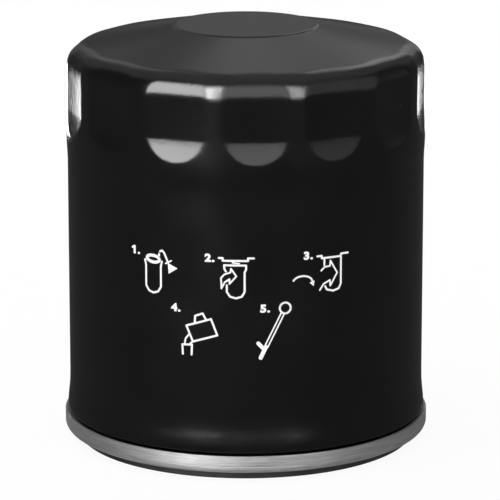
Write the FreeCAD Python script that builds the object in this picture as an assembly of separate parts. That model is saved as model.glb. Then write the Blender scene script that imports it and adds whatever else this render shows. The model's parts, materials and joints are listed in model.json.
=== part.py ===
import FreeCAD, Part

import math
import os

from FreeCAD import Vector

# Spin-on oil filter. The origin is the centre of the gasket's sealing face. +Z runs up the filter's
# axis to the dome and the front is -Y. All sizes are in millimetres.

# Driving dimensions
SHELL_R = 38.0  # plain wall of the can
HEIGHT = 89.5  # gasket face to the top of the dome's centre disc
SHELL_T = 0.45  # sheet of the can
LID_T = 0.5  # sheet of the seam cover
CAP_T = 0.4  # sheet of the cartridge's end caps and tube
FLUTES = 14  # flats round the dome end
FLUTE_TURN = -60.94  # angle from +X to the middle of the first flat, degrees
FLAT_R = 37.42  # axis to the middle of a flat
RIDGE_R = 38.1  # ridges between the flats
BULGE_R = 38.25  # low ring that the flats run out on
FLUTE_LOW = 66.0  # the low ring under the flats is highest just below this height
FLUTE_HIGH = 71.8  # each flat leans out below this height
SCOOP_R = 37.76  # axis to the surface where it starts to lean out more steeply
SCOOP_Z = 69.0  # height of that place
SCOOP_SLOPE = 0.24  # how much it leans out per millimetre below that place
DISC_R = 15.0  # raised centre disc of the dome
DISC_STEP = 0.3  # the disc's edge stands this far above the cone round it
DISC_EDGE = 0.5  # width of the slope round the disc
CONE_R = 34.3  # the cone ends here, over the middle of a flat
CONE_Z = 85.35  # height of the cone's edge
RIDGE_EDGE = 0.63  # how much further out the cone ends over a ridge
FLAT_HIGH = 83.44  # where the shoulder's slope would meet a flat
RIDGE_HIGH = 82.96  # where the shoulder's slope would meet a ridge
SHOULDER_BELOW = 3.5  # the shoulder's rounding starts this far below those corners
SHOULDER_ABOVE = 1.8  # and ends this far up the slope

THREAD_MINOR_R = 8.73  # bore of the 3/4"-16 UNF internal thread
THREAD_MAJOR_R = 9.53  # root of the thread, where the bore's mouth is chamfered to

FLARE_R = 38.35  # slight flare of the wall just above the seam
FLARE_Z = 7.8
SEAM_LOW = 1.85  # lower edge of the rolled seam
SEAM_HIGH = 5.75  # upper edge of the rolled seam
SEAM_R = 39.1  # outside of the rolled seam
SEAM_DIP = 0.45  # the seam's top falls by this much towards the wall
SEAM_WIDE = 1.5  # width of the rolled seam
FLANGE_LOW = 2.7  # underside of the can's outward flange, inside the seam
FLANGE_T = 0.4  # sheet of the flange, thinned by the rolling
NECKED_R = 37.35  # the can is drawn in to this radius behind the seam
PLATE_LOW = 5.4  # outer face of the base plate
PLATE_HIGH = 8.6  # inner face of the base plate
NECK_R = 11.2  # threaded neck of the base plate
NECK_HIGH = 15.8
CAP_LOW = 15.0  # underside of the cartridge
CAP_HIGH = 73.0  # top side of the cartridge
CAP_R = 34.0
TUBE_R = 14.6  # outside of the centre tube
VALVE_FACE = 71.0  # sealing face of the bypass valve
CAGE_LOW = 58.0  # underside of the bypass cage
GAP = 0.05  # clearance between pieces that only touch

os.makedirs("parts", exist_ok=True)


def save(node, shape):
    """Write one sub-part."""
    shape.exportStep("parts/" + node + ".step")


def section(corners):
    """Closed face in the XZ plane.

    A corner is (r, z) for a sharp one, (r, z, radius) for a round one, or (r, z, run before, run after) for a
    parabolic blend that starts and ends at those distances from the corner.
    """
    count = len(corners)
    spots = [Vector(c[0], 0, c[1]) for c in corners]
    starts, ends, curves = [], [], []
    for i, corner in enumerate(corners):
        here = spots[i]
        back = (spots[i - 1] - here).normalize()
        ahead = (spots[(i + 1) % count] - here).normalize()
        if len(corner) == 3:
            half = back.getAngle(ahead) / 2
            run = corner[2] / math.tan(half)
            middle = here + (back + ahead).normalize() * (corner[2] / math.sin(half) - corner[2])
            start, end = here + back * run, here + ahead * run
            curve = Part.Arc(start, middle, end)
        elif len(corner) == 4:
            start, end = here + back * corner[2], here + ahead * corner[3]
            curve = Part.BezierCurve()
            curve.setPoles([start, here, end])
        else:
            start, end, curve = here, here, None
        starts.append(start)
        ends.append(end)
        curves.append(curve)
    edges = []
    for i in range(count):
        if curves[i]:
            edges.append(curves[i].toShape())
        following = starts[(i + 1) % count]
        if (following - ends[i]).Length > 1e-6:
            edges.append(Part.makeLine(ends[i], following))
    return Part.Face(Part.Wire(edges))


def turned(corners):
    """Solid of revolution about the filter's axis."""
    return section(corners).revolve(Vector(0, 0, 0), Vector(0, 0, 1), 360)


def ring(r_in, r_out, z_low, z_high):
    """Plain ring, or a plain disc when r_in is 0."""
    return turned([(r_in, z_low), (r_out, z_low), (r_out, z_high), (r_in, z_high)])


def around(shape, count, first=0.0):
    """Copies of a shape, evenly spaced round the axis."""
    copies = []
    for i in range(count):
        copy = shape.copy()
        copy.rotate(Vector(0, 0, 0), Vector(0, 0, 1), first + i * 360 / count)
        copies.append(copy)
    return copies


def coil(mean_r, wire_r, z_low, z_high, turns):
    """Compression spring with flat ground ends."""
    sink = 0.6 * wire_r  # how far the wire's centre line starts inside each ground face
    pitch = (z_high - z_low - 2 * sink) / turns
    path = Part.Wire(Part.makeHelix(pitch, pitch * turns, mean_r).Edges)
    path.translate(Vector(0, 0, z_low + sink))
    start = path.Vertexes[0].Point
    wire = Part.Wire(Part.makeCircle(wire_r, start, Vector(0, 1, 0)))
    spring = path.makePipeShell([wire], True, True)
    return spring.common(ring(0, mean_r + 2 * wire_r, z_low, z_high))


# ---------------------------------------------------------------- shell


def can(inset):
    """Solid can with its surface moved inwards by inset."""
    wall = SHELL_R - inset
    bulge = BULGE_R - inset
    ridge = RIDGE_R - inset
    flat = FLAT_R - inset
    neck = NECKED_R - inset
    flare = FLARE_R - inset
    top = HEIGHT - inset
    slope = (HEIGHT - DISC_STEP - CONE_Z) / (CONE_R - DISC_R - DISC_EDGE)
    ridge_edge_z = CONE_Z - RIDGE_EDGE * slope - inset
    body = turned(
        [
            (0, FLANGE_LOW),
            (neck, FLANGE_LOW),
            (neck, 5.5, 0.3, 0.3),
            (flare - 0.05, 6.3, 0.3, 0.3),
            (flare, FLARE_Z, 0.6, 2.0),
            (wall, FLARE_Z + 4.6, 2.2, 2.2),
            (wall, FLUTE_LOW - 4.4, 1.6, 1.6),
            (bulge, FLUTE_LOW - 0.6, 1.9, 2.4),
            (ridge, FLUTE_HIGH, 2.0, 2.0),
            (ridge, RIDGE_HIGH - inset, SHOULDER_BELOW, SHOULDER_ABOVE),
            (CONE_R + RIDGE_EDGE, ridge_edge_z, 0.4),
            (DISC_R + DISC_EDGE, HEIGHT - DISC_STEP - inset),
            (DISC_R, top),
            (0, top),
        ]
    )
    beyond = SHELL_R + 12
    run_out_low = FLUTE_LOW - 6  # the run-out's slope goes on below the ring, clear of the wall
    cut_section = section(
        [
            (beyond, run_out_low),
            (SCOOP_R - inset + (SCOOP_Z - run_out_low) * SCOOP_SLOPE, run_out_low),
            (SCOOP_R - inset, SCOOP_Z, 2.2, 2.0),
            (flat, FLUTE_HIGH, 0.4, 0.4),
            (flat, FLAT_HIGH - inset, SHOULDER_BELOW, SHOULDER_ABOVE),
            (CONE_R, CONE_Z - inset),
            (CONE_R, HEIGHT + 5),
            (beyond, HEIGHT + 5),
        ]
    )
    half_width = 12.0
    cut_section.translate(Vector(0, -half_width, 0))
    cutter = cut_section.extrude(Vector(0, 2 * half_width, 0))
    return body.cut(around(cutter, FLUTES, FLUTE_TURN))


hook_r = SEAM_R - LID_T - GAP
hook_high = SEAM_HIGH - LID_T - SEAM_DIP
body_hook = turned(
    [
        (SHELL_R - 1.0, FLANGE_LOW),
        (hook_r, FLANGE_LOW, 0.4),
        (hook_r, hook_high),
        (hook_r - FLANGE_T, hook_high),
        (hook_r - FLANGE_T, FLANGE_LOW + FLANGE_T),
        (SHELL_R - 1.0, FLANGE_LOW + FLANGE_T),
    ]
)
hollow = can(SHELL_T)
mouth = ring(0, NECKED_R - SHELL_T, 0, FLANGE_LOW + 1.0)
shell = can(0).cut(hollow.fuse(mouth)).fuse(body_hook)
save("shell", shell)

# ---------------------------------------------------------------- lid, seam and gasket

GROOVE_IN = 30.6  # outer face of the rib inside the gasket
GROOVE_OUT = 36.4  # inner face of the seam's wall
COVER_HOLE_R = 21.5
RIB_LOW = 2.0  # the rib that centres the gasket comes down to this height
RIB_WIDE = 2.6
floor_low = PLATE_LOW - LID_T
seam_tip = FLANGE_LOW + 0.5  # the sheet's edge, curled in under the can's flange

seam_cover = turned(
    [
        (COVER_HOLE_R, floor_low),
        (GROOVE_IN - RIB_WIDE, floor_low, 0.4),
        (GROOVE_IN - RIB_WIDE, RIB_LOW, 0.9),
        (GROOVE_IN, RIB_LOW, 0.9),
        (GROOVE_IN, floor_low, 0.3),
        (GROOVE_OUT, floor_low, 0.3),
        (GROOVE_OUT, SEAM_LOW, 0.5),
        (SEAM_R, SEAM_LOW, 1.4),
        (SEAM_R, SEAM_HIGH, 0.2),
        (SEAM_R - SEAM_WIDE, SEAM_HIGH - SEAM_DIP, 0.3),
        (SEAM_R - SEAM_WIDE, seam_tip),
        (SEAM_R - SEAM_WIDE + LID_T, seam_tip),
        (SEAM_R - SEAM_WIDE + LID_T, SEAM_HIGH - LID_T - 0.3, 0.1),
        (SEAM_R - LID_T, SEAM_HIGH - LID_T - 0.15, 0.1),
        (SEAM_R - LID_T, SEAM_LOW + LID_T, 0.9),
        (GROOVE_OUT + LID_T, SEAM_LOW + LID_T, 0.1),
        (GROOVE_OUT + LID_T, PLATE_LOW, 0.4),
        (GROOVE_IN - LID_T, PLATE_LOW, 0.4),
        (GROOVE_IN - LID_T, RIB_LOW + LID_T, 0.4),
        (GROOVE_IN - RIB_WIDE + LID_T, RIB_LOW + LID_T, 0.4),
        (GROOVE_IN - RIB_WIDE + LID_T, PLATE_LOW, 0.4),
        (COVER_HOLE_R, PLATE_LOW),
    ]
)
save("seam_cover", seam_cover)

compound_low = SEAM_LOW + LID_T + 0.01
compound_high = FLANGE_LOW - GAP
seam_sealant = turned(
    [
        (GROOVE_OUT + LID_T + 0.1, compound_low),
        (SEAM_R - 1.4, compound_low),
        (SEAM_R - 0.85, compound_high),
        (GROOVE_OUT + LID_T + 0.1, compound_high),
    ]
)
save("seam_sealant", seam_sealant)

GASKET_IN = 30.9
GASKET_OUT = 36.1
gasket_high = floor_low - GAP
base_gasket = turned(
    [
        (GASKET_IN, 0, 0.3),
        (GASKET_OUT, 0, 0.3),
        (GASKET_OUT, gasket_high, 0.3),
        (GASKET_IN, gasket_high, 0.3),
    ]
)
save("base_gasket", base_gasket)

# ---------------------------------------------------------------- base plate

INLETS = 8
INLET_R = 2.9
INLET_CIRCLE_R = 16.2
chamfer = THREAD_MAJOR_R - THREAD_MINOR_R + 0.35

plate = turned(
    [
        (THREAD_MINOR_R, PLATE_LOW + chamfer),
        (THREAD_MINOR_R, NECK_HIGH - 0.6),
        (THREAD_MINOR_R + 0.6, NECK_HIGH),
        (NECK_R, NECK_HIGH, 0.4),
        (NECK_R, PLATE_HIGH, 0.8),
        (GROOVE_OUT + 0.4, PLATE_HIGH, 0.5),
        (GROOVE_OUT + 0.4, PLATE_LOW, 0.3),
        (THREAD_MINOR_R + chamfer, PLATE_LOW),
    ]
)
inlet = Part.makeCylinder(INLET_R, 10, Vector(INLET_CIRCLE_R, 0, PLATE_LOW - 2))
base_plate = plate.cut(around(inlet, INLETS, 180 / INLETS))
save("base_plate", base_plate)

# ---------------------------------------------------------------- anti-drain valve

collar_r = NECK_R + GAP
anti_drain_valve = turned(
    [
        (collar_r, 10.2),
        (12.9, 10.2, 0.3),
        (12.9, 11.7, 0.3),
        (20.8, 9.1, 1.5),
        (22.9, PLATE_HIGH + GAP, 0.3),
        (23.2, 9.5, 0.3),
        (15.9, 12.6, 0.8),
        (15.9, CAP_LOW - 0.02, 0.3),
        (13.0, CAP_LOW - 0.02),
        (13.0, 17.0, 0.4),
        (collar_r, 17.0, 0.3),
    ]
)
save("anti_drain_valve", anti_drain_valve)

# ---------------------------------------------------------------- cartridge

RIM_DEPTH = 3.4
neck_in = 13.1
lower_end_cap = turned(
    [
        (neck_in, CAP_LOW),
        (CAP_R, CAP_LOW, 0.6),
        (CAP_R, CAP_LOW + RIM_DEPTH),
        (CAP_R - CAP_T, CAP_LOW + RIM_DEPTH),
        (CAP_R - CAP_T, CAP_LOW + CAP_T),
        (neck_in + CAP_T, CAP_LOW + CAP_T),
        (neck_in + CAP_T, CAP_LOW + 2.4),
        (neck_in, CAP_LOW + 2.4),
    ]
)
save("lower_end_cap", lower_end_cap)

SEAT_HOLE_R = 9.0
upper_end_cap = turned(
    [
        (SEAT_HOLE_R, CAP_HIGH),
        (CAP_R, CAP_HIGH, 0.6),
        (CAP_R, CAP_HIGH - RIM_DEPTH),
        (CAP_R - CAP_T, CAP_HIGH - RIM_DEPTH),
        (CAP_R - CAP_T, CAP_HIGH - CAP_T),
        (SEAT_HOLE_R, CAP_HIGH - CAP_T),
    ]
)
save("upper_end_cap", upper_end_cap)

PLEATS = 48
PAPER_T = 0.45
PAPER_OUT = 32.8
PAPER_IN = 15.3
paper_low = CAP_LOW + CAP_T + 0.6
paper_high = CAP_HIGH - CAP_T - 0.6


def star(outer, inner, lean):
    """Closed pleat outline: lean widens (+) or narrows (-) each pleat by half the paper's thickness."""
    quarter = 90 / PLEATS
    points = []
    for k in range(PLEATS):
        middle = k * 360 / PLEATS
        spread_out = quarter + math.degrees(lean / outer)
        spread_in = quarter + math.degrees(lean / inner)
        for radius, angle in (
            (inner, middle - spread_in),
            (outer, middle - spread_out),
            (outer, middle + spread_out),
            (inner, middle + spread_in),
        ):
            turn = math.radians(angle)
            points.append(Vector(radius * math.cos(turn), radius * math.sin(turn), paper_low))
    return Part.makePolygon(points + points[:1])


paper_face = Part.Face([star(PAPER_OUT, PAPER_IN + PAPER_T, PAPER_T / 2)])
core_face = Part.Face([star(PAPER_OUT - PAPER_T, PAPER_IN, -PAPER_T / 2)])
rise = Vector(0, 0, paper_high - paper_low)
filter_media = paper_face.extrude(rise).cut(core_face.extrude(rise))
save("filter_media", filter_media)

# A folded steel channel pinches the joined ends of the paper over one pleat.
CLIP_T = 0.3
CLIP_DEPTH = 5.0
pleat_half = PAPER_OUT * math.radians(90 / PLEATS) + PAPER_T / 2 + 0.03
clip_out = PAPER_OUT + 0.05 + CLIP_T
clip_half = pleat_half + CLIP_T
clip_in = clip_out - CLIP_DEPTH
paper_tall = paper_high - paper_low
clip = Part.makeBox(CLIP_DEPTH, 2 * clip_half, paper_tall, Vector(clip_in, -clip_half, paper_low))
slot = Part.makeBox(CLIP_DEPTH, 2 * pleat_half, paper_tall, Vector(clip_in - CLIP_T, -pleat_half, paper_low))
media_seam_clip = clip.cut(slot)
save("media_seam_clip", media_seam_clip)

TUBE_HOLE_R = 2.0
HOLES_ROUND = 8
HOLE_ROWS = 6
HOLE_RISE = 8.5
tube_low = CAP_LOW + CAP_T + 0.3
tube_high = CAP_HIGH - CAP_T - 0.3
tube = ring(TUBE_R - CAP_T, TUBE_R, tube_low, tube_high)
drills = []
for row in range(HOLE_ROWS):
    z = (tube_low + tube_high) / 2 + (row - (HOLE_ROWS - 1) / 2) * HOLE_RISE
    drill = Part.makeCylinder(TUBE_HOLE_R, TUBE_R + 2, Vector(0, 0, z), Vector(1, 0, 0))
    drills += around(drill, HOLES_ROUND, (row % 2) * 180 / HOLES_ROUND)
centre_tube = tube.cut(drills)
save("centre_tube", centre_tube)

POTTING_T = 2.0
potting_in = neck_in + CAP_T + GAP
potting_out = CAP_R - CAP_T - GAP
bonded = [filter_media, media_seam_clip, tube]
lower_potting = ring(potting_in, potting_out, CAP_LOW + CAP_T, CAP_LOW + CAP_T + POTTING_T).cut(bonded)
save("lower_potting", lower_potting)
upper_potting = ring(potting_in, potting_out, CAP_HIGH - CAP_T - POTTING_T, CAP_HIGH - CAP_T).cut(bonded)
save("upper_potting", upper_potting)

# ---------------------------------------------------------------- bypass valve

PORT_R = 6.0
bypass_seat = turned(
    [
        (PORT_R, VALVE_FACE),
        (SEAT_HOLE_R - GAP, VALVE_FACE, 0.5),
        (SEAT_HOLE_R - GAP, CAP_HIGH),
        (12.5, CAP_HIGH),
        (12.5, CAP_HIGH + 0.5),
        (SEAT_HOLE_R - 0.55, CAP_HIGH + 0.5, 0.4),
        (SEAT_HOLE_R - 0.55, VALVE_FACE + 0.5, 0.2),
        (PORT_R, VALVE_FACE + 0.5),
    ]
)
save("bypass_seat", bypass_seat)

STEM_R = 1.5
SEAL_T = 1.0
POPPET_T = 0.5
seal_low = VALVE_FACE - GAP - SEAL_T
poppet_low = seal_low - POPPET_T
bypass_seal = turned(
    [
        (STEM_R + 0.02, seal_low),
        (7.6, seal_low),
        (7.6, seal_low + SEAL_T, 0.3),
        (STEM_R + 0.02, seal_low + SEAL_T),
    ]
)
save("bypass_seal", bypass_seal)

# The poppet is a shallow cup, open downwards, whose skirt centres the spring.
bypass_poppet = turned(
    [
        (STEM_R + 0.02, poppet_low),
        (6.4, poppet_low, 0.3),
        (6.4, poppet_low - 1.6),
        (6.9, poppet_low - 1.6),
        (6.9, poppet_low, 0.6),
        (8.0, poppet_low),
        (8.0, seal_low),
        (STEM_R + 0.02, seal_low),
    ]
)
save("bypass_poppet", bypass_poppet)

HEAD_R = 3.2
rivet_low = CAGE_LOW - 2.5
bypass_stem = turned(
    [
        (0, rivet_low),
        (STEM_R, rivet_low, 0.4),
        (STEM_R, seal_low + SEAL_T),
        (HEAD_R, seal_low + SEAL_T),
        (HEAD_R, seal_low + SEAL_T + 0.9, 0.6),
        (0, seal_low + SEAL_T + 0.9),
    ]
)
save("bypass_stem", bypass_stem)

CAGE_R = 11.0
CAGE_T = 0.45
cage_high = CAP_HIGH - CAP_T
cage = turned(
    [
        (STEM_R + 0.08, CAGE_LOW),
        (CAGE_R, CAGE_LOW, 0.8),
        (CAGE_R, cage_high - CAGE_T, 0.2),
        (12.8, cage_high - CAGE_T),
        (12.8, cage_high),
        (CAGE_R - CAGE_T, cage_high, 0.3),
        (CAGE_R - CAGE_T, CAGE_LOW + CAGE_T, 0.4),
        (STEM_R + 0.08, CAGE_LOW + CAGE_T),
    ]
)
window = Part.makeBox(CAGE_R, 9.0, 9.5, Vector(5.5, -4.5, CAGE_LOW + 2.2))
flow_hole = Part.makeCylinder(1.9, 4, Vector(7.9, 0, CAGE_LOW - 2))
bypass_cage = cage.cut(around(window, 4) + around(flow_hole, 4, 45))
save("bypass_cage", bypass_cage)

bypass_spring = coil(5.2, 0.55, CAGE_LOW + CAGE_T + 0.02, poppet_low - 0.02, 5)
save("bypass_spring", bypass_spring)

element_spring = coil(10.5, 0.85, CAP_HIGH + 0.52, HEIGHT - SHELL_T - 0.02, 4.5)
save("element_spring", element_spring)
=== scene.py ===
import json
import math

import bmesh
import bpy
import numpy as np
from mathutils import Matrix, Vector

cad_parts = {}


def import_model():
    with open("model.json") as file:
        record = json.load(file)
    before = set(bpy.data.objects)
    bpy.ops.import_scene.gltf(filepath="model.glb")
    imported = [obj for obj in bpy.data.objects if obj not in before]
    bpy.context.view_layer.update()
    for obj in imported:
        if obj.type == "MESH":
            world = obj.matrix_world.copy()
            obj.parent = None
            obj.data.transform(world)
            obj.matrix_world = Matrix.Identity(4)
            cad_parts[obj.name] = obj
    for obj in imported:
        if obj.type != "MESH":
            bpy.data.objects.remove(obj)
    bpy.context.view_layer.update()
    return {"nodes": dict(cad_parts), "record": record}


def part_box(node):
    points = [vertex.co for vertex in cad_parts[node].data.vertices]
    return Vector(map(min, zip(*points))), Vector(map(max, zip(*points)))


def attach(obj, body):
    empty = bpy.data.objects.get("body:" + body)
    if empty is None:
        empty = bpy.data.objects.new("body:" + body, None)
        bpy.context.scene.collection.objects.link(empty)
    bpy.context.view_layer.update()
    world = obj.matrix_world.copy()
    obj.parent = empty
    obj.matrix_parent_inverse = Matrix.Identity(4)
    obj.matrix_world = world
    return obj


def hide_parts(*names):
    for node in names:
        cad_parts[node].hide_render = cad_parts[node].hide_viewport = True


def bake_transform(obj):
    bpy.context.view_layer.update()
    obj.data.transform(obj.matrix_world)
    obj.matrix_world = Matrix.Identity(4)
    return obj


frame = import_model()

# Lengths are in millimetres until a mesh is made; MM turns them into Blender's metres.
MM = 0.001

# ---------------------------------------------------------------- sizes taken from the CAD


def cad_size(node):
    """(outer radius, lowest z, highest z) of a round CAD node, in millimetres."""
    low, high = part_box(node)
    return high.x / MM, low.z / MM, high.z / MM


def cad_inner(node):
    """Inner radius of a round CAD node, in millimetres."""
    vertices = frame["nodes"][node].data.vertices
    points = np.zeros(len(vertices) * 3)
    vertices.foreach_get("co", points)
    return float(np.hypot(points[0::3], points[1::3]).min()) / MM


_, FLANGE_LOW, HEIGHT = cad_size("shell")
SEAM_R, SEAM_LOW, SEAM_HIGH = cad_size("seam_cover")
GASKET_R, GASKET_LOW, GASKET_HIGH = cad_size("base_gasket")
PLATE_R, PLATE_LOW, NECK_HIGH = cad_size("base_plate")
THREAD_MINOR_R = cad_inner("base_plate")

# ---------------------------------------------------------------- meshes


def add_object(name, data):
    obj = bpy.data.objects.new(name, data)
    bpy.context.scene.collection.objects.link(obj)
    return obj


def add_mesh(name, points, faces, smooth=True):
    """Object from points in millimetres."""
    mesh = bpy.data.meshes.new(name)
    mesh.from_pydata((np.array(points) * MM).tolist(), [], faces)
    mesh.polygons.foreach_set("use_smooth", [smooth] * len(mesh.polygons))
    mesh.update()
    return add_object(name, mesh)


def circle(count):
    """Evenly spaced angles round a full turn."""
    return np.linspace(0, math.tau, count, endpoint=False)


def ring(radius, z, turns):
    """Points round the axis as an (n, 3) array; radius and z may differ from point to point."""
    return np.stack([radius * np.cos(turns), radius * np.sin(turns), z + 0 * turns], 1)


def tip(r, z, turn=0.0):
    """One point, as the ring that closes a cap."""
    return ring(r, z, np.array([turn]))


def skin(name, rings, loop=False):
    """Object whose faces join neighbouring rings of equal length, or a ring and a tip."""
    points, faces, starts = [], [], []
    for points_round in rings:
        starts.append(len(points))
        points.extend(points_round.tolist())
    pairs = [(k, k + 1) for k in range(len(rings) - 1)]
    if loop:
        pairs.append((len(rings) - 1, 0))
    for a, b in pairs:
        count = max(len(rings[a]), len(rings[b]))
        for i in range(count):
            j = (i + 1) % count
            if len(rings[a]) == 1:
                faces.append((starts[a], starts[b] + i, starts[b] + j))
            elif len(rings[b]) == 1:
                faces.append((starts[a] + j, starts[a] + i, starts[b]))
            else:
                faces.append((starts[a] + j, starts[a] + i, starts[b] + i, starts[b] + j))
    return add_mesh(name, points, faces)


def outline(corners, closed=True, steps=8):
    """Points (r, z) along a section.

    A corner is (r, z) for a sharp one, (r, z, radius) for a round one, or (r, z, run before, run after) for
    a parabolic blend.
    """
    spots = [np.array(c[:2], float) for c in corners]
    count = len(spots)
    points = []
    for i, corner in enumerate(corners):
        here = spots[i]
        if len(corner) == 2 or (not closed and i in (0, count - 1)):
            points.append(here)
            continue
        back = spots[i - 1] - here
        ahead = spots[(i + 1) % count] - here
        back /= np.linalg.norm(back)
        ahead /= np.linalg.norm(ahead)
        t = np.linspace(0, 1, steps + 1)[:, None]
        if len(corner) == 4:
            start, end = here + back * corner[2], here + ahead * corner[3]
            points.extend((1 - t) ** 2 * start + 2 * t * (1 - t) * here + t**2 * end)
            continue
        radius = corner[2]
        half = math.acos(np.clip(back @ ahead, -1, 1)) / 2
        centre = here + (back + ahead) / np.linalg.norm(back + ahead) * radius / math.sin(half)
        start = here + back * radius / math.tan(half) - centre
        end = here + ahead * radius / math.tan(half) - centre
        sweep = math.pi - 2 * half
        share_start = np.sin((1 - t) * sweep) / math.sin(sweep)
        share_end = np.sin(t * sweep) / math.sin(sweep)
        points.extend(centre + share_start * start + share_end * end)
    return np.array(points)


def resample(points, spacing):
    """Evenly spaced points along an open outline."""
    steps = np.linalg.norm(np.diff(points, axis=0), axis=1)
    along = np.concatenate([[0], np.cumsum(steps)])
    wanted = np.linspace(0, along[-1], max(2, round(along[-1] / spacing) + 1))
    return np.stack([np.interp(wanted, along, points[:, k]) for k in (0, 1)], 1)


def lathe(name, section, segments):
    """Closed section turned about the filter's axis."""
    return skin(name, [ring(r, z, circle(segments)) for r, z in section], loop=True)


def evaluated(obj):
    """New mesh of an object with its modifiers applied."""
    graph = bpy.context.evaluated_depsgraph_get()
    return bpy.data.meshes.new_from_object(obj.evaluated_get(graph))


def apply_modifiers(obj):
    final = evaluated(obj)
    obj.modifiers.clear()
    obj.data = final


def fair(obj, degrees):
    """Outward normals, smooth faces and sharp edges where faces turn by more than an angle."""
    mesh = bmesh.new()
    mesh.from_mesh(obj.data)
    bmesh.ops.recalc_face_normals(mesh, faces=mesh.faces)
    for edge in mesh.edges:
        edge.smooth = not edge.is_manifold or edge.calc_face_angle(0) < math.radians(degrees)
    for face in mesh.faces:
        face.smooth = True
    mesh.to_mesh(obj.data)
    mesh.free()


def copies_round(make, count, circle_r, first=0.0):
    """One object from copies of a small piece on a circle; the first one is that many steps round it."""
    mesh = bmesh.new()
    copies = []
    for i in range(count):
        bearing = (i + first) * math.tau / count
        copy = make()
        shift = Vector((circle_r * math.cos(bearing), circle_r * math.sin(bearing), 0)) * MM
        copy.data.transform(Matrix.Translation(shift))
        mesh.from_mesh(copy.data)
        copies.append(copy)
    mesh.to_mesh(copies[0].data)
    mesh.free()
    for copy in copies[1:]:
        bpy.data.objects.remove(copy)
    return copies[0]


# ---------------------------------------------------------------- node materials


def grey(value):
    return (value, value, value, 1.0)


class Nodes:
    """Short ways to add and join the nodes of one tree."""

    def __init__(self, tree):
        self.tree = tree

    def feed(self, sockets, values):
        """Gives each socket its value, or links it where the value is another node's output."""
        for socket, value in zip(sockets, values):
            if isinstance(value, bpy.types.NodeSocket):
                self.tree.links.new(value, socket)
            else:
                socket.default_value = value

    def set(self, node, **values):
        """Feeds inputs by their names in small letters, with _ for a space."""
        for key, value in values.items():
            wanted = key.replace("_", " ")
            self.feed([next(s for s in node.inputs if s.name.lower() == wanted)], [value])

    def add(self, kind, settings=None, **inputs):
        node = self.tree.nodes.new(kind)
        for key, value in (settings or {}).items():
            setattr(node, key, value)
        self.set(node, **inputs)
        return node

    def math(self, operation, *values):
        node = self.add("ShaderNodeMath", {"operation": operation})
        self.feed(node.inputs, values)
        return node.outputs[0]

    def range(self, value, low, high, to_low, to_high):
        """Smooth step that takes low to to_low and high to to_high."""
        node = self.add("ShaderNodeMapRange", {"interpolation_type": "SMOOTHSTEP"})
        self.feed(node.inputs, (value, low, high, to_low, to_high))
        return node.outputs[0]

    def ramp(self, value, span, stops):
        """Smooth curve through (place, height) stops; places from -1 to 1 are values from -span to span."""
        full = max(height for _, height in stops)
        node = self.add("ShaderNodeValToRGB", fac=self.math("MULTIPLY_ADD", value, 0.5 / span, 0.5))
        node.color_ramp.interpolation = "EASE"
        marks = node.color_ramp.elements
        for i, (spot, height) in enumerate(stops):
            mark = marks[i] if i < 2 else marks.new(spot / 2 + 0.5)  # a new ramp has two marks
            mark.position = spot / 2 + 0.5
            mark.color = grey(height / full)
        return self.math("MULTIPLY", node.outputs["Color"], full)

    def blend(self, share, a, b):
        """Colour b over colour a."""
        node = self.add("ShaderNodeMix", {"data_type": "RGBA"})
        self.feed([node.inputs[0], node.inputs[6], node.inputs[7]], (share, a, b))
        return node.outputs[2]

    def mix(self, share, a, b):
        """Shader b over shader a."""
        node = self.add("ShaderNodeMixShader")
        self.feed(node.inputs, (share, a, b))
        return node.outputs[0]

    def shader(self, kind, **inputs):
        return self.add("ShaderNode" + kind, **inputs).outputs[0]

    def is_ray(self, kind):
        return self.add("ShaderNodeLightPath").outputs["Is " + kind + " Ray"]

    def split(self, vector):
        return self.add("ShaderNodeSeparateXYZ", vector=vector).outputs


class Paint(Nodes):
    """A node material, patterned by the place on the object."""

    def __init__(self, name, **principled):
        self.material = bpy.data.materials.new(name)
        self.material.use_nodes = True
        super().__init__(self.material.node_tree)
        self.principled = self.tree.nodes["Principled BSDF"]
        self.place = self.add("ShaderNodeTexCoord").outputs["Object"]
        self.shade(**principled)

    def shade(self, **inputs):
        """Sets inputs of the principled shader."""
        self.set(self.principled, **inputs)

    def finish(self, surface):
        """Uses a shader in place of the principled one."""
        self.tree.nodes.remove(self.principled)
        self.tree.links.new(surface, self.tree.nodes["Material Output"].inputs["Surface"])

    def noise(self, scale, detail, vector=None, roughness=0.5):
        values = {"scale": scale, "detail": detail, "roughness": roughness}
        return self.add("ShaderNodeTexNoise", vector=vector or self.place, **values).outputs["Fac"]

    def cylinder(self, round_scale, wall_scale):
        """Place for a pattern that runs round the filter, with one scale round it and one across it."""
        x, y, z = self.split(self.place)
        turn = self.math("ARCTAN2", x, y)
        squares = self.math("ADD", self.math("MULTIPLY", x, x), self.math("MULTIPLY", y, y))
        radius = self.math("SQRT", squares)
        # Sine and cosine of the turn keep the pattern whole where the turn jumps from +pi to -pi.
        sine = self.math("MULTIPLY", self.math("SINE", turn), round_scale)
        cosine = self.math("MULTIPLY", self.math("COSINE", turn), round_scale)
        along = self.math("MULTIPLY", z, wall_scale)
        out = self.math("ADD", cosine, self.math("MULTIPLY", radius, wall_scale))
        join = self.add("ShaderNodeCombineXYZ")
        self.feed(join.inputs, (sine, along, out))
        return join.outputs[0]

    def tint(self, pattern, low, high, dark, light):
        """Base colour that goes from dark to light while a pattern goes from low to high."""
        self.shade(base_color=self.blend(self.range(pattern, low, high, 0, 1), dark, light))

    def bump(self, pattern, strength, distance, under=None):
        """Bumps the surface by a pattern, on top of another bump if one is given; distance is in metres."""
        node = self.add("ShaderNodeBump", height=pattern, strength=strength, distance=distance)
        if under is not None:
            self.set(node, normal=under)
        self.shade(normal=node.outputs[0])
        return node.outputs[0]


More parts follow.
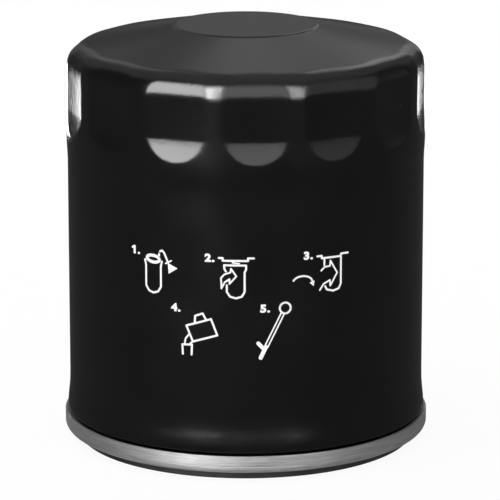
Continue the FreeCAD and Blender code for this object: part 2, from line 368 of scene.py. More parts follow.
def shell_paint(name):
    """Gloss black baked paint with faint orange peel and a few specks of dust."""
    paint = Paint(name)
    paint.shade(roughness=paint.range(paint.noise(90, 3), 0.3, 0.7, 0.14, 0.18))
    cells = paint.add("ShaderNodeTexVoronoi", vector=paint.place, scale=260.0)
    speck = paint.math("LESS_THAN", cells.outputs["Distance"], 0.03)
    dusty = paint.math("GREATER_THAN", paint.noise(61, 0), 0.72)
    paint.shade(base_color=paint.blend(paint.math("MULTIPLY", speck, dusty), grey(0.0048), grey(0.2)))
    peel = paint.bump(paint.noise(900, 2), 0.1, 0.0002)
    paint.bump(paint.noise(4200, 1), 0.12, 0.00005, under=peel)
    return paint.material


def brushed_steel(name, tone, roughness):
    """Bare sheet with fine streaks that run round the filter."""
    paint = Paint(name, metallic=0.7, anisotropic=0.6, anisotropic_rotation=0.25)
    fine = paint.noise(1.0, 4, paint.cylinder(9, 14000), 0.7)
    broad = paint.noise(1.0, 3, paint.cylinder(2.2, 2600), 0.6)
    grain = paint.math("ADD", paint.math("MULTIPLY", fine, 0.65), paint.math("MULTIPLY", broad, 0.35))
    paint.tint(grain, 0.33, 0.67, grey(0.62 * tone), grey(1.25 * tone))
    paint.shade(roughness=paint.range(paint.noise(140, 3), 0.3, 0.7, roughness - 0.06, roughness + 0.06))
    tangent = paint.add("ShaderNodeTangent", {"direction_type": "RADIAL", "axis": "Z"})
    paint.shade(tangent=tangent.outputs[0])
    paint.bump(grain, 0.25, 0.00004)
    return paint.material


def plain_steel(name, tone, roughness, mottle=0.15):
    """Pressed or drawn sheet: slightly mottled, with no direction."""
    paint = Paint(name, metallic=1.0)
    paint.tint(paint.noise(160, 5), 0.3, 0.7, grey(tone * (1 - mottle)), grey(tone * (1 + mottle)))
    fine = paint.noise(2200, 2)
    paint.shade(roughness=paint.range(fine, 0.25, 0.75, roughness - 0.07, roughness + 0.09))
    paint.bump(fine, 0.15, 0.00003)
    return paint.material


def rubber(name, tone, roughness):
    """Moulded rubber: satin, with a fine matt grain and a faint bloom."""
    paint = Paint(name, specular_ior_level=0.45)
    paint.tint(paint.noise(120, 4), 0.35, 0.7, grey(0.75 * tone), grey(1.6 * tone))
    grain = paint.noise(3200, 2)
    paint.shade(roughness=paint.range(grain, 0.3, 0.7, roughness - 0.08, roughness + 0.1))
    paint.bump(grain, 0.22, 0.00005)
    return paint.material


def print_ink(name):
    """White screen-printing ink, slightly uneven."""
    paint = Paint(name, roughness=0.5)
    cover = paint.noise(1500, 3)
    paint.tint(cover, 0.25, 0.6, grey(0.9), grey(0.99))
    paint.bump(cover, 0.1, 0.00003)
    return paint.material


def filter_paper(name):
    """Resin-stiffened paper with short fibres and paler patches."""
    paint = Paint(name, roughness=0.85, specular_ior_level=0.2)
    fibres = paint.noise(1.0, 5, paint.cylinder(160, 900), 0.65)
    dark, light = (0.5, 0.36, 0.17, 1.0), (0.74, 0.6, 0.36, 1.0)
    tinted = paint.blend(paint.range(fibres, 0.3, 0.7, 0, 1), dark, light)
    patches = paint.range(paint.noise(200, 3), 0.3, 0.8, 0, 0.35)
    paint.shade(base_color=paint.blend(patches, tinted, (0.6, 0.5, 0.3, 1.0)))
    paint.bump(fibres, 0.4, 0.0001)
    return paint.material


def plastisol(name):
    """Cured sealing compound that was poured and set."""
    paint = Paint(name, roughness=0.45)
    cloud = paint.noise(260, 4)
    paint.tint(cloud, 0.3, 0.7, (0.3, 0.09, 0.06, 1.0), (0.42, 0.15, 0.1, 1.0))
    paint.bump(cloud, 0.3, 0.0003)
    return paint.material


# Material of each CAD slot.
PAINTS = {
    "painted_shell": shell_paint("shell_paint"),
    "lid_steel": brushed_steel("lid_steel", 0.32, 0.58),
    "compound": rubber("compound", 0.3, 0.6),
    "gasket_rubber": rubber("gasket_rubber", 0.016, 0.42),
    "plate_steel": plain_steel("plate_steel", 0.5, 0.34),
    "valve_rubber": rubber("valve_rubber", 0.022, 0.5),
    "cap_steel": plain_steel("cap_steel", 0.62, 0.28),
    "plastisol": plastisol("plastisol"),
    "filter_paper": filter_paper("filter_paper"),
    "tube_steel": plain_steel("tube_steel", 0.58, 0.3),
    "spring_steel": plain_steel("spring_steel", 0.4, 0.3, 0.2),
    "valve_steel": plain_steel("valve_steel", 0.55, 0.26),
}


def coat(obj, material):
    """Gives an object one material and no other."""
    obj.data.materials.clear()
    obj.data.materials.append(material)


def finish_piece(obj, slot, body=None, node=None):
    """A finished piece: its material slot, the body it rides on and the CAD node it stands for."""
    coat(obj, PAINTS[slot])
    if node:
        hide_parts(node)
    if body:
        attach(obj, body)


for row in frame["record"]["subparts"]:
    coat(frame["nodes"][row["node"]], PAINTS[row["material_slot"]])

# ---------------------------------------------------------------- shell

SHEET = 0.4
LID_T = 0.5
WALL_R = 38.0

# The shell is measured along rays from a circle of this radius, at this height.
HUB_R = 20.0
HUB_Z = 60.0
RAY_STEP = 0.25  # distance between neighbouring rays where they leave the shell

FLUTES = 14
FLUTE_TURN = math.radians(-60.94)  # angle from +X to the middle of the first flat
FLUTE_COLUMNS = 28  # points across each flute
FLAT_R = 37.42
FLAT_SAG = 0.12  # how much a flat is hollowed between its edges
FLAT_LOW = 71.8  # a flat leans out below this height
SCOOP_R = 37.76  # it has reached this radius at SCOOP_LOW, and leans out more steeply below
SCOOP_LOW = 69.0
SCOOP_SLOPE = 0.24
RIDGE_R = 38.1  # most that the ridges between the flats stand out
BULGE_R = 38.25  # low ring that the flats run out on
BULGE_LOW = 61.6
BULGE_HIGH = 65.4

DISC_R = 15.0
DISC_FOOT_R = 15.5  # foot of the step round the disc
DISC_STEP = 0.3
CONE_R = 34.3  # the cone ends here, over the middle of a flat
CONE_Z = 85.35
RIDGE_EDGE = 0.63  # how much further out the cone ends over a ridge
FLAT_HIGH = 83.44  # where the shoulder's slope would meet a flat
RIDGE_HIGH = 82.96  # where the shoulder's slope would meet a ridge
SHOULDER_BELOW = 3.5  # the shoulder's rounding starts this far below those corners
SHOULDER_ABOVE = 1.8  # and ends this far up the slope

# How softly the surfaces of the fluted end turn into each other.
RIDGE_WIDTH = 0.5  # one flat and the next
ROUND_WIDTH = 0.12  # the flats and the round body that they are cut from
SHOULDER_WIDTH = 0.45  # the cone and all of these

FLARE_R = 38.47  # slight flare of the wall above the seam
FLARE_START = 12.0
FLARE_HIGH = 7.8
FLARE_LOW = 6.3
NECKED_R = 37.35  # the wall is drawn in to this radius behind the seam
NECKED_HIGH = 5.5
HOOK_R = SEAM_R - LID_T - 0.45  # the edge is turned out and up, and hooks into the lid's fold
HOOK_HIGH = SEAM_HIGH - LID_T - 0.4


def soft_min(a, b, width):
    """The lower of two values, rounded off where they are within width of each other."""
    near = np.maximum(width - np.abs(a - b), 0) / width
    return np.minimum(a, b) - near**2 * width / 4


def ray_lengths(profile, scale, bearings):
    """Distances from the hub to a profile, widened by scale, along rays at the given bearings."""
    fine = resample(profile, 0.2)
    r, z = fine[:, 0] * scale - HUB_R, fine[:, 1] - HUB_Z
    return np.interp(bearings, np.arctan2(z, r), np.hypot(r, z))


def cone_z(r):
    """Height of the dome's cone at a radius."""
    slope = (HEIGHT - DISC_STEP - CONE_Z) / (CONE_R - DISC_FOOT_R)
    return CONE_Z + (CONE_R - r) * slope


def fluted_end():
    """Rays' bearings, and their lengths for each column of points across one flute, from its left ridge."""
    edge_r = CONE_R + RIDGE_EDGE
    round_slope = (cone_z(edge_r) - RIDGE_HIGH) / (RIDGE_R - edge_r)
    round_profile = outline(
        [
            (WALL_R, HUB_Z),
            (WALL_R, BULGE_LOW, 1.6, 1.6),
            (BULGE_R, BULGE_HIGH, 1.9, 2.4),
            (RIDGE_R, FLAT_LOW, 2.0, 2.0),
            (RIDGE_R, RIDGE_HIGH, SHOULDER_BELOW, SHOULDER_ABOVE),
            (HUB_R, RIDGE_HIGH + (RIDGE_R - HUB_R) * round_slope),
        ],
        closed=False,
        steps=24,
    )
    flat_slope = (CONE_Z - FLAT_HIGH) / (FLAT_R - CONE_R)
    flat_profile = outline(
        [
            (SCOOP_R + (SCOOP_LOW - HUB_Z) * SCOOP_SLOPE, HUB_Z),
            (SCOOP_R, SCOOP_LOW, 2.2, 2.0),
            (FLAT_R, FLAT_LOW, 0.4, 0.4),
            (FLAT_R, FLAT_HIGH, SHOULDER_BELOW, SHOULDER_ABOVE),
            (HUB_R, FLAT_HIGH + (FLAT_R - HUB_R) * flat_slope),
        ],
        closed=False,
        steps=24,
    )
    far = WALL_R + 10.0
    cone_profile = np.array([(far, HUB_Z), (far, cone_z(far)), (HUB_R, cone_z(HUB_R))])

    rough_shape = [(WALL_R, HUB_Z), (RIDGE_R, FLAT_HIGH, 3.0), (HUB_R, cone_z(HUB_R))]
    r, z = resample(outline(rough_shape, closed=False), RAY_STEP).T
    bearings = np.arctan2(z - HUB_Z, r - HUB_R)
    round_length = ray_lengths(round_profile, 1.0, bearings)
    cone_length = ray_lengths(cone_profile, 1.0, bearings)
    pitch = math.tau / FLUTES

    def flat_length(turn):
        hollow = 1 + FLAT_SAG / FLAT_R * (2 * turn / pitch) ** 2
        return ray_lengths(flat_profile, hollow / math.cos(turn), bearings)

    columns = []
    for turn in np.abs(np.arange(FLUTE_COLUMNS) / FLUTE_COLUMNS - 0.5) * pitch:
        flats = soft_min(flat_length(turn), flat_length(pitch - turn), RIDGE_WIDTH)
        columns.append(soft_min(soft_min(flats, round_length, ROUND_WIDTH), cone_length, SHOULDER_WIDTH))
    return bearings, np.stack(columns, 1)


def shell_mesh():
    """Drawn can: raised disc, cone, fluted end, wall, flare and the hook inside the seam."""
    points_round = FLUTES * FLUTE_COLUMNS
    turns = FLUTE_TURN + (np.arange(points_round) - FLUTE_COLUMNS / 2) * math.tau / points_round
    disc = outline(
        [
            (0.0, HEIGHT),
            (DISC_R, HEIGHT, 0.8),
            (DISC_FOOT_R, HEIGHT - DISC_STEP, 0.4),
            (HUB_R, cone_z(HUB_R)),
        ],
        closed=False,
    )
    rings = [tip(0, HEIGHT)]
    rings += [ring(r, HEIGHT, turns) for r in np.arange(2, DISC_R, 2)]
    rings += [ring(r, z, turns) for r, z in disc[1:-1]]
    bearings, lengths = fluted_end()
    for bearing, length in reversed(list(zip(bearings, np.tile(lengths, (1, FLUTES))))):
        rings.append(ring(HUB_R + length * math.cos(bearing), HUB_Z + length * math.sin(bearing), turns))
    foot = outline(
        [
            (WALL_R, HUB_Z),
            (WALL_R, FLARE_START, 2.2, 1.8),
            (FLARE_R, FLARE_HIGH, 1.8, 0.6),
            (FLARE_R - 0.05, FLARE_LOW, 0.3, 0.3),
            (NECKED_R, NECKED_HIGH, 0.3, 0.3),
            (NECKED_R, FLANGE_LOW + SHEET, 0.2),
            (HOOK_R, FLANGE_LOW + SHEET, 0.15),
            (HOOK_R, HOOK_HIGH),
        ],
        closed=False,
    )
    rings += [ring(WALL_R, z, turns) for z in np.arange(HUB_Z - 2, 19, -2.0)]
    rings += [ring(r, z, turns) for r, z in foot[1:]]
    obj = skin("shell_body", rings)
    thicken = obj.modifiers.new("sheet", "SOLIDIFY")
    thicken.thickness = SHEET * MM
    thicken.offset = -1
    apply_modifiers(obj)
    return obj


finish_piece(shell_mesh(), "painted_shell", "filter_body", "shell")

# ---------------------------------------------------------------- rolled seam and lid

SEAM_WIDE = 1.5  # across the seam's top
SEAM_DIP = 0.45  # the seam's top falls by this much towards the wall
SEAM_INSIDE_LOW = 3.2  # lower end of the lid's edge, behind the shell's hook
SEAM_LINE = 1.57  # height of the fine line rolled round the seam, above its lower edge
GROOVE_IN = 30.6  # the gasket's groove
GROOVE_OUT = 36.4
RIB_IN = 28.0  # pressed rib on the inner side of the groove
RIB_LOW = 2.0
LID_HOLE_R = 21.5
LID_LOW = PLATE_LOW - LID_T


def lid_mesh():
    """Lid with its gasket groove, rolled at the edge into the seam."""
    top = SEAM_HIGH + 0.07  # where the seam's outer and top faces would meet, above their rounded corner
    line = SEAM_LOW + SEAM_LINE
    section = outline(
        [
            (LID_HOLE_R, LID_LOW, 0.15),
            (RIB_IN, LID_LOW, 0.4),
            (RIB_IN, RIB_LOW, 0.9),
            (GROOVE_IN, RIB_LOW, 0.9),
            (GROOVE_IN, LID_LOW, 0.3),
            (GROOVE_OUT, LID_LOW, 0.3),
            (GROOVE_OUT, SEAM_LOW, 0.5),
            (SEAM_R, SEAM_LOW, 1.4),
            (SEAM_R, line - 0.12, 0.04),
            (SEAM_R - 0.07, line, 0.05),
            (SEAM_R, line + 0.12, 0.1),
            (SEAM_R, top, 0.2),
            (SEAM_R - SEAM_WIDE, top - SEAM_DIP, 0.3),
            (SEAM_R - SEAM_WIDE, SEAM_INSIDE_LOW, 0.1),
            (SEAM_R - SEAM_WIDE + LID_T, SEAM_INSIDE_LOW, 0.1),
            (SEAM_R - SEAM_WIDE + LID_T, top - LID_T - 0.3, 0.1),
            (SEAM_R - LID_T, top - LID_T - 0.15, 0.1),
            (SEAM_R - LID_T, SEAM_LOW + LID_T, 0.9),
            (GROOVE_OUT + LID_T, SEAM_LOW + LID_T, 0.1),
            (GROOVE_OUT + LID_T, PLATE_LOW, 0.4),
            (GROOVE_IN - LID_T, PLATE_LOW, 0.4),
            (GROOVE_IN - LID_T, RIB_LOW + LID_T, 0.4),
            (RIB_IN + LID_T, RIB_LOW + LID_T, 0.4),
            (RIB_IN + LID_T, PLATE_LOW, 0.4),
            (LID_HOLE_R, PLATE_LOW, 0.15),
        ]
    )
    return lathe("seam_ring", section, 320)


finish_piece(lid_mesh(), "lid_steel", "filter_body", "seam_cover")

# ---------------------------------------------------------------- gasket


def gasket_mesh():
    """Square-cut ring with rounded lips and a moulding line on each side."""
    inner = cad_inner("base_gasket")
    line = GASKET_LOW + 0.55 * (GASKET_HIGH - GASKET_LOW)
    section = outline(
        [
            (inner, GASKET_LOW, 0.3),
            (GASKET_R, GASKET_LOW, 0.3),
            (GASKET_R, line - 0.2, 0.05),
            (GASKET_R - 0.08, line, 0.05),
            (GASKET_R, line + 0.2, 0.05),
            (GASKET_R, GASKET_HIGH, 0.3),
            (inner, GASKET_HIGH, 0.3),
            (inner, line + 0.2, 0.05),
            (inner + 0.08, line, 0.05),
            (inner, line - 0.2, 0.05),
        ]
    )
    return lathe("gasket", section, 320)


finish_piece(gasket_mesh(), "gasket_rubber", "filter_body", "base_gasket")

# ---------------------------------------------------------------- base plate and welds

THREAD_MAJOR_R = 9.53
THREAD_PITCH = 25.4 / 16
NECK_R = 11.2
PLATE_HIGH = 8.6
MOUTH_R = THREAD_MAJOR_R + 0.35  # 45 degree chamfer at the thread's lower end
NECK_BORE_R = THREAD_MINOR_R + 0.6  # and at its upper end
INLETS = 8
INLET_R = 2.9
INLET_CIRCLE_R = 16.2
WELDS = 8
WELD_CIRCLE_R = 24.8


def inlet_drill():
    """Plain pin, 1 mm longer than the plate is thick at both ends."""
    low, high, turns = PLATE_LOW - 1, PLATE_HIGH + 1, circle(40)
    sides = [ring(INLET_R, z, turns) for z in (high, low)]
    return skin("inlet_drill", [tip(0, high), *sides, tip(0, low)])


def threaded_plate():
    """Base plate: threaded neck, flange and ring of oil inlets."""
    turns = circle(192)
    outside = outline(
        [
            (NECK_BORE_R, NECK_HIGH),
            (NECK_R, NECK_HIGH, 0.4),
            (NECK_R, PLATE_HIGH, 0.8),
            (PLATE_R, PLATE_HIGH, 0.5),
            (PLATE_R, PLATE_LOW, 0.3),
            (MOUTH_R, PLATE_LOW),
        ],
        closed=False,
    )
    rings = [ring(r, z, turns) for r, z in outside]
    for z in np.arange(PLATE_LOW + 0.12, NECK_HIGH - 0.05, THREAD_PITCH / 14):
        phase = (z / THREAD_PITCH - turns / math.tau) % 1.0
        tooth = np.clip(1.25 * (1 - 2 * np.abs(phase - 0.5)) - 0.12, 0, 1)  # 0 on a crest, 1 in a groove
        radius = THREAD_MINOR_R + (THREAD_MAJOR_R - THREAD_MINOR_R) * tooth
        chamfer = max(MOUTH_R - (z - PLATE_LOW), NECK_BORE_R - (NECK_HIGH - z))
        rings.append(ring(np.maximum(radius, chamfer), z, turns))
    obj = skin("threaded_plate", rings, loop=True)
    drills = copies_round(inlet_drill, INLETS, INLET_CIRCLE_R, first=0.5)
    cut = obj.modifiers.new("inlets", "BOOLEAN")
    cut.operation = "DIFFERENCE"
    cut.solver = "EXACT"
    cut.object = drills
    apply_modifiers(obj)
    bpy.data.objects.remove(drills)
    fair(obj, 35)
    return obj


def weld_mark():
    """Shallow electrode dimple with a raised rim, on the lid's lower face."""
    section = outline(
        [
            (2.0, LID_LOW + 0.02),
            (1.75, LID_LOW - 0.12, 0.2),
            (1.2, LID_LOW - 0.12, 0.2),
            (0.9, LID_LOW - 0.02),
            (0.02, LID_LOW - 0.02),
        ],
        closed=False,
    )
    return skin("weld_marks", [ring(r, z, circle(36)) for r, z in section])


finish_piece(threaded_plate(), "plate_steel", "filter_body", "base_plate")
weld_marks = copies_round(weld_mark, WELDS, WELD_CIRCLE_R)
fair(weld_marks, 60)
finish_piece(weld_marks, "lid_steel", "filter_body")

# ---------------------------------------------------------------- springs and rubber valve


def blend_up(obj):
    """Bakes the piece's placement into its mesh."""
    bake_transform(obj)


def spring_mesh(name, mean_r, wire_r, low, high, turns):
    """Compression spring whose end turns lie closed and are ground flat."""
    t = np.linspace(0, turns, int(turns * 48))
    sink = 0.55 * wire_r  # from the ground end to the wire's centre
    # Rise per turn: small in the closed turn at each end and full in the middle.
    rise = np.interp(t, [0, 0.8, 1.3], [0.35, 0.35, 1.0])
    rise = np.minimum(rise, rise[::-1])
    climb = np.concatenate([[0], np.cumsum((rise[1:] + rise[:-1]) / 2)])
    heights = low + sink + (high - low - 2 * sink) * climb / climb[-1]
    angles = t * math.tau
    round_wire = circle(20)
    rings = [tip(mean_r, heights[0], angles[0])]
    for angle, height in zip(angles, heights):
        out = mean_r + wire_r * np.cos(round_wire)
        up = np.clip(height + wire_r * np.sin(round_wire), low, high)
        rings.append(np.stack([out * math.cos(angle), out * math.sin(angle), up], 1))
    rings.append(tip(mean_r, heights[-1], angles[-1]))
    obj = skin(name, rings)
    fair(obj, 50)
    return obj


def add_spring(name, node, mean_r, wire_r, turns):
    """Spring as high as its CAD node, in place of that node."""
    low, high = cad_size(node)[1:]
    coil = spring_mesh(name, mean_r, wire_r, low, high, turns)
    finish_piece(coil, "spring_steel", node=node)
    blend_up(coil)


add_spring("element_coil", "element_spring", 10.5, 0.85, 4.5)
add_spring("bypass_coil", "bypass_spring", 5.2, 0.55, 6)

COLLAR_R = NECK_R + 0.05  # bore of the valve's collar
COLLAR_OUT = 15.9
COLLAR_HIGH = 14.98  # the lower end cap rests here
COLLAR_TOP = cad_size("anti_drain_valve")[2]


def drain_flap_mesh():
    """Rubber collar with a thin cone whose lip rests on the base plate."""
    section = outline(
        [
            (COLLAR_R, 10.2),
            (12.9, 10.2, 0.3),
            (12.9, 11.7, 0.3),
            (20.8, 9.1, 1.5),
            (22.9, PLATE_HIGH + 0.05, 0.3),
            (23.2, 9.5, 0.3),
            (19.6, 11.0, 0.2),
            (19.3, 11.35, 0.2),
            (18.6, 11.45, 0.2),
            (COLLAR_OUT, 12.6, 0.8),
            (COLLAR_OUT, COLLAR_HIGH, 0.3),
            (13.0, COLLAR_HIGH),
            (13.0, COLLAR_TOP, 0.4),
            (COLLAR_R, COLLAR_TOP, 0.3),
        ]
    )
    return lathe("drain_flap", section, 192)


drain_flap = drain_flap_mesh()
finish_piece(drain_flap, "valve_rubber", node="anti_drain_valve")
blend_up(drain_flap)

# ---------------------------------------------------------------- printed steps

PRINT_R = WALL_R + 0.035  # the ink's face
PRINT_SINK = WALL_R - 0.02  # its back, just inside the wall
LINE = 0.42
THIN = 0.36
FINE = 0.3
PIECE = 1.2  # longest straight piece of a line, so that it follows the round wall
DIGIT_SIZE = 2.2
DIGIT_WIDE = 1.15  # the numerals are this much wider than the font


class Print:
    """Flat shapes in (u, z), with u round the wall from the front towards +X, then wrapped on the wall."""

    def __init__(self):
        self.shapes = []

    def fill(self, points):
        """Convex shape."""
        area = sum(a[0] * b[1] - b[0] * a[1] for a, b in zip(points, points[1:] + points[:1]))
        self.shapes.append(points if area > 0 else points[::-1])

    def dot(self, u, z, radius):
        self.fill([(u + radius * math.cos(a), z + radius * math.sin(a)) for a in circle(16)])

    def line(self, points, width=LINE, closed=False):
        """Stroke with round joints."""
        ends = points + (points[:1] if closed else [])
        for (ua, za), (ub, zb) in zip(ends, ends[1:]):
            length = math.hypot(ub - ua, zb - za)
            du, dz = -(zb - za) / length * width / 2, (ub - ua) / length * width / 2
            parts = max(1, math.ceil(length / PIECE))
            spots = [(ua + (ub - ua) * k / parts, za + (zb - za) * k / parts) for k in range(parts + 1)]
            for (up, zp), (uq, zq) in zip(spots, spots[1:]):
                self.fill([(up - du, zp - dz), (uq - du, zq - dz), (uq + du, zq + dz), (up + du, zp + dz)])
        for u, z in points:
            self.dot(u, z, width / 2)

    def arc(self, u, z, wide, tall, start, end, width=LINE, steps=18, lean=0.0):
        """Part of an ellipse, between two angles in degrees, that drops to the right by lean."""
        sweep = np.radians(np.linspace(start, end, steps))
        spots = [(wide * math.cos(a), tall * math.sin(a)) for a in sweep]
        self.line([(u + x, z + y - lean * x) for x, y in spots], width)

    def arrow_head(self, u, z, degrees, size):
        """Filled triangle whose tip is at (u, z) and points at an angle."""
        spots = [(u, z)]
        for turn in (150, -150):
            a = math.radians(degrees + turn)
            spots.append((u + size * math.cos(a), z + size * math.sin(a)))
        self.fill(spots)

    def drop(self, u, z, size):
        """Filled oil drop, with its tip up."""
        half, foot = size * 0.92, z + size * 0.38
        self.dot(u, z, size)
        self.fill([(u - half, foot), (u + half, foot), (u, z + size * 2.3)])

    def digit(self, text, u, z):
        """Bold numeral and full stop from Blender's own font."""
        curve = bpy.data.curves.new("digit", "FONT")
        curve.body = text
        curve.size = DIGIT_SIZE
        curve.offset = 0.055 * DIGIT_SIZE
        curve.space_character = 1.15
        obj = add_object("digit", curve)
        mesh = evaluated(obj)
        for face in mesh.polygons:
            corners = [mesh.vertices[i].co for i in face.vertices]
            self.fill([(u + c.x * DIGIT_WIDE, z + c.y) for c in corners])
        bpy.data.objects.remove(obj)
        bpy.data.meshes.remove(mesh)

    def build(self, name):
        """Each shape as a thin plate bent round the wall."""
        points, faces = [], []
        for shape in self.shapes:
            start, count = len(points), len(shape)
            for radius in (PRINT_SINK, PRINT_R):
                for u, z in shape:
                    a = u / WALL_R
                    points.append((radius * math.sin(a), -radius * math.cos(a), z))
            faces.append(tuple(start + count + i for i in range(count)))
            faces.append(tuple(start + i for i in reversed(range(count))))
            for i in range(count):
                j = (i + 1) % count
                faces.append((start + i, start + j, start + count + j, start + count + i))
        return add_mesh(name, points, faces, smooth=False)


def steps_print():
    """Five generic fitting steps: oil the gasket, screw on, tighten, fill with oil, check the level."""
    ink = Print()
    corners = ((-25.2, 47.0), (-8.4, 46.9), (12.1, 47.0), (-15.7, 35.9), (3.0, 36.3))
    for number, (u, z) in enumerate(corners, 1):
        ink.digit(f"{number}.", u, z)
    ink.line([(-25.1, 48.15), (-24.65, 48.5)], 0.4)  # flag of the 1, which the font draws too small
    # 1: an open can, with an oiler that drips on its rim
    ink.arc(-19.9, 46.4, 1.48, 0.7, 0, 360, 0.66, steps=30, lean=0.06)
    ink.line(
        [
            (-21.9, 46.0), (-21.65, 44.9), (-21.65, 40.6), (-20.95, 39.55), (-19.9, 39.2),
            (-18.8, 39.55), (-18.1, 40.6), (-18.1, 44.9), (-17.85, 46.0),
        ]
    )
    ink.drop(-18.5, 47.35, 0.26)
    ink.line([(-18.25, 48.15), (-17.75, 48.35), (-17.3, 47.9), (-16.4, 45.9)])
    ink.line([(-17.0, 45.7), (-15.7, 46.4)], FINE)
    ink.fill([(-16.5, 45.9), (-16.3, 43.6), (-14.3, 44.9)])
    # 2: the can goes up to its seat, with a block arrow that turns round it
    ink.line([(-5.5, 47.7), (-4.7, 47.7), (-4.7, 47.15), (0.5, 47.15), (0.5, 47.7), (1.7, 47.7)])
    ink.line([(-2.7, 46.75), (-1.3, 46.6)], FINE)
    ink.line(
        [
            (-3.85, 42.0), (-3.85, 40.6), (-3.2, 39.6), (-2.0, 39.25), (-0.8, 39.6), (-0.2, 40.6),
            (-0.2, 44.7), (0.1, 45.3), (0.1, 46.2), (-4.4, 46.2), (-4.35, 45.4), (-4.05, 44.9),
        ]
    )
    ink.line(
        [
            (-4.95, 41.3), (-5.05, 43.5), (-4.3, 44.3), (-3.1, 44.7), (-3.0, 45.5),
            (-1.9, 43.9), (-3.3, 42.3), (-3.3, 43.3), (-4.3, 42.6),
        ],
        THIN,
        closed=True,
    )
    # 3: the can against its seat, with a larger block arrow, and a curved arrow for the last turn
    ink.line([(15.1, 47.4), (16.1, 47.4), (16.1, 46.9), (20.6, 46.9), (20.6, 47.4), (22.3, 47.4)])
    ink.line([(20.6, 46.8), (20.6, 41.1), (20.1, 40.1), (18.8, 39.75), (17.3, 40.15), (16.9, 40.9)])
    ink.line([(16.7, 46.8), (16.7, 45.4)])
    ink.line(
        [
            (16.0, 44.3), (16.8, 45.0), (18.0, 45.1), (18.1, 46.2), (19.7, 43.5),
            (18.1, 40.9), (18.0, 42.1), (16.5, 41.4), (15.7, 40.2),
        ],
        THIN,
    )
    ink.arc(11.9, 42.2, 2.1, 1.3, 160, -15, 0.4)
    ink.arrow_head(14.3, 41.2, -70, 1.2)
    # 4: a jug tipped over a filler neck
    ink.line([(-12.4, 33.0), (-7.15, 34.7), (-5.85, 31.3), (-11.0, 29.7)], closed=True)
    ink.line([(-10.6, 33.7), (-10.5, 35.2), (-8.9, 35.8), (-8.2, 34.5)])
    ink.line([(-11.75, 31.3), (-12.6, 30.2), (-12.75, 29.3)], THIN)
    ink.line([(-11.0, 29.7), (-11.6, 29.2)], THIN)
    ink.line([(-13.2, 26.9), (-13.3, 28.9), (-11.2, 29.0), (-11.3, 26.9)])
    # 5: a dipstick with oil on its tip
    ink.line([(3.9, 29.0), (7.35, 36.0)], FINE)
    ink.line([(4.5, 28.7), (7.95, 35.7)], FINE)
    ink.line([(4.2, 28.9), (3.1, 26.6)], 0.85)
    ink.line([(2.6, 29.7), (3.6, 28.6)], 0.8)
    ink.arc(8.2, 37.0, 1.15, 1.15, 0, 360, steps=24)
    return ink.build("printed_steps")


printed_steps = steps_print()
coat(printed_steps, print_ink("print_ink"))
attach(printed_steps, "filter_body")

# ---------------------------------------------------------------- studio

CAMERA_LENS = 259.6
CAMERA_DISTANCE = 775.2
CAMERA_PITCH = math.radians(13.85)
CAMERA_AIM = Vector((0.9, 0, 40.1))


def camera():
    """Long lens in front of the filter, a little above it."""
    data = bpy.data.cameras.new("camera")
    data.lens = CAMERA_LENS
    data.sensor_width = 36.0
    data.clip_end = 20.0
    obj = add_object("camera", data)
    back = Vector((0, -math.cos(CAMERA_PITCH), math.sin(CAMERA_PITCH)))
    obj.location = (CAMERA_AIM + back * CAMERA_DISTANCE) * MM
    obj.rotation_euler = (-back).to_track_quat("-Z", "Y").to_euler()
    bpy.context.scene.camera = obj


# Brightness of the mirrored front of the studio, by bearing in degrees (positive to the right).
FRONT_LIGHTS = (
    (-180, 0.0),
    (-70, 0.0),
    (-57, 0.5),
    (-50, 12.2),
    (-35, 8.7),
    (-23, 24.0),
    (-14, 3.0),
    (6, 2.0),
    (20, 2.1),
    (33, 8.6),
    (45, 1.0),
    (60, 0.5),
    (85, 0.5),
    (120, 0.0),
    (180, 0.0),
)
# Brightness of the mirrored back of the studio, by place from left (-1) to right (1).
BACK_GLOW = (
    (-1.0, 0.0),
    (-0.36, 0.35),
    (-0.23, 0.9),
    (-0.17, 0.9),
    (-0.12, 0.3),
    (-0.09, 0.4),
    (-0.04, 0.85),
    (0.0, 0.95),
    (0.11, 0.75),
    (0.19, 2.2),
    (0.28, 1.8),
    (0.36, 0.3),
    (1.0, 0.0),
)


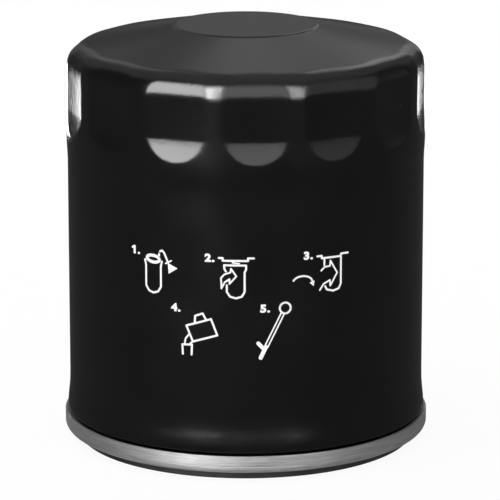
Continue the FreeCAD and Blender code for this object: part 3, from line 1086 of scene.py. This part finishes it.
def world():
    """White for the camera and for soft light.

    Where it is mirrored it is a dark studio, with soft lights in front and a grey backdrop behind.
    """
    data = bpy.data.worlds.new("studio")
    bpy.context.scene.world = data
    data.use_nodes = True
    data.cycles.sampling_method = "NONE"
    data.node_tree.nodes.clear()
    sky = Nodes(data.node_tree)
    x, y, z = sky.split(sky.add("ShaderNodeTexCoord").outputs["Generated"])
    # Lights in front, from the horizon up.
    bearing = sky.math("ARCTAN2", x, sky.math("MULTIPLY", y, -1.0))
    lights = sky.ramp(bearing, math.pi, [(degrees / 180, value) for degrees, value in FRONT_LIGHTS])
    window = sky.math("MULTIPLY", sky.range(z, -0.04, 0.01, 0, 1), sky.range(z, 0.45, 0.93, 1, 0))
    front = sky.math("MULTIPLY", lights, window)
    # Backdrop, brighter towards its top.
    height = sky.math("MULTIPLY", sky.range(z, 0.1, 0.62, 0.14, 0.6), sky.range(z, 0.7, 0.85, 1, 0))
    behind = sky.math("MULTIPLY", sky.range(y, 0.0, 0.6, 0, 1), height)
    behind = sky.math("MULTIPLY", behind, sky.ramp(x, 1, BACK_GLOW))
    ceiling = sky.math("ADD", sky.range(z, 0.6, 0.95, 0.0, 0.42), 0.03)
    mirrored = sky.shader("Background", color=sky.math("ADD", sky.math("ADD", front, behind), ceiling))
    # Soft light comes more from the left than from the right.
    soft = sky.shader("Background", color=sky.range(x, -0.9, 0.9, 1.45, 0.6))
    white = sky.shader("Background", color=grey(1.0))
    seen = sky.mix(sky.is_ray("Diffuse"), white, soft)
    out = sky.add("ShaderNodeOutputWorld")
    sky.feed([out.inputs["Surface"]], [sky.mix(sky.is_ray("Glossy"), seen, mirrored)])


def floor():
    """Pale floor, seen darker in mirror-like surfaces and see-through from below."""
    half = 3000.0
    corners = [(-half, -half, 0), (half, -half, 0), (half, half, 0), (-half, half, 0)]
    obj = add_mesh("floor", corners, [(0, 1, 2, 3)])
    obj.location.z = -0.02 * MM
    pale = Paint("floor")
    grain = pale.range(pale.noise(40, 3), 0.3, 0.7, 0.94, 0.96)
    even = pale.mix(0.93, pale.shader("BsdfDiffuse", color=grain), pale.shader("Emission", color=grey(1.0)))
    above = pale.mix(pale.is_ray("Glossy"), even, pale.shader("Emission", color=grey(0.05)))
    below = pale.add("ShaderNodeNewGeometry").outputs["Backfacing"]
    pale.finish(pale.mix(below, above, pale.shader("BsdfTransparent")))
    coat(obj, pale.material)


def card(name, bearing, distance, low, high, wide, radiance):
    """Upright glowing card that only mirrors see.

    The bearing is from the front (positive to the right), and the width is an angle too, both in degrees.
    """
    turn = math.radians(bearing)
    half = distance * math.tan(math.radians(wide / 2))
    corners = [(-half, 0, low), (half, 0, low), (half, 0, high), (-half, 0, high)]
    obj = add_mesh(name, corners, [(0, 1, 2, 3)])
    obj.location = Vector((math.sin(turn), -math.cos(turn), 0)) * distance * MM
    obj.rotation_euler.z = turn
    glow = Paint(name)
    across = glow.math("ABSOLUTE", glow.split(glow.place)["X"])
    light = glow.shader("Emission", strength=glow.range(across, 0.9 * half * MM, half * MM, radiance, 0))
    glow.finish(glow.mix(glow.is_ray("Glossy"), glow.shader("BsdfTransparent"), light))
    coat(obj, glow.material)
    for ray in ("camera", "diffuse", "transmission", "volume_scatter", "shadow"):
        setattr(obj, "visible_" + ray, False)


camera()
world()
floor()
card("strip_left", bearing=-145.6, distance=150, low=39, high=62, wide=10.5, radiance=25.0)
card("strip_right", bearing=159.3, distance=150, low=39, high=60, wide=14, radiance=11.5)
bpy.context.scene.view_settings.view_transform = "Standard"
